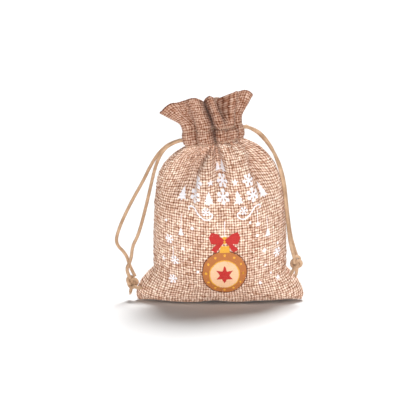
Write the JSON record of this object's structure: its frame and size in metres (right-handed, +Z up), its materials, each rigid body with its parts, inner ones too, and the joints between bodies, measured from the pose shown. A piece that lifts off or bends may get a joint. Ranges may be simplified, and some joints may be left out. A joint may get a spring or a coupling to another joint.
{
  "type": "drawstring gift sack",
  "caption": "Coarse woven drawstring gift sack, standing filled out with its frilled neck drawn closed; the cords hang down both sides and swing outwards.",
  "frame": {"origin": "middle of the base, on the surface that the sack stands on", "axes": "+Z up, front of the sack faces -Y, +X to the right of someone facing the front; the flat bottom edge runs along X"},
  "size_m": [0.1131, 0.046, 0.1261],
  "materials": {
    "burlap": "coarse plain weave, slubby",
    "burlap_inside": "coarse plain weave, raw edges",
    "thread": "sewing thread",
    "cord": "smooth twisted cord",
    "print_white": "white textile ink on coarse weave",
    "print_colour": "coloured textile ink on coarse weave"
  },
  "bodies": {
    "sack": {"front_panel": "burlap", "back_panel": "burlap", "front_casing": "burlap", "back_casing": "burlap", "front_hem": "burlap", "back_hem": "burlap", "front_frill": "burlap", "back_frill": "burlap", "left_seam_allowance": "burlap_inside", "right_seam_allowance": "burlap_inside", "bottom_seam_allowance": "burlap_inside", "front_upper_stitching": "thread", "back_upper_stitching": "thread", "front_lower_stitching": "thread", "back_lower_stitching": "thread", "left_casing_run": "cord", "right_casing_run": "cord"},
    "left_drawstring": {"left_front_leg": "cord", "left_back_leg": "cord", "left_knot": "cord", "left_front_tail": "cord", "left_back_tail": "cord"},
    "right_drawstring": {"right_front_leg": "cord", "right_back_leg": "cord", "right_knot": "cord", "right_front_tail": "cord", "right_back_tail": "cord"}
  },
  "joints": [
    {"name": "left_drawstring_swing", "type": "hinge", "parent": "sack", "child": "left_drawstring", "pos_m": [-0.024, 0, 0.09629], "axis": [0, 1, 0], "range_deg": [0, 70]},
    {"name": "right_drawstring_swing", "type": "hinge", "parent": "sack", "child": "right_drawstring", "pos_m": [0.0156, 0, 0.10466], "axis": [0, -1, 0], "range_deg": [0, 70]}
  ]
}
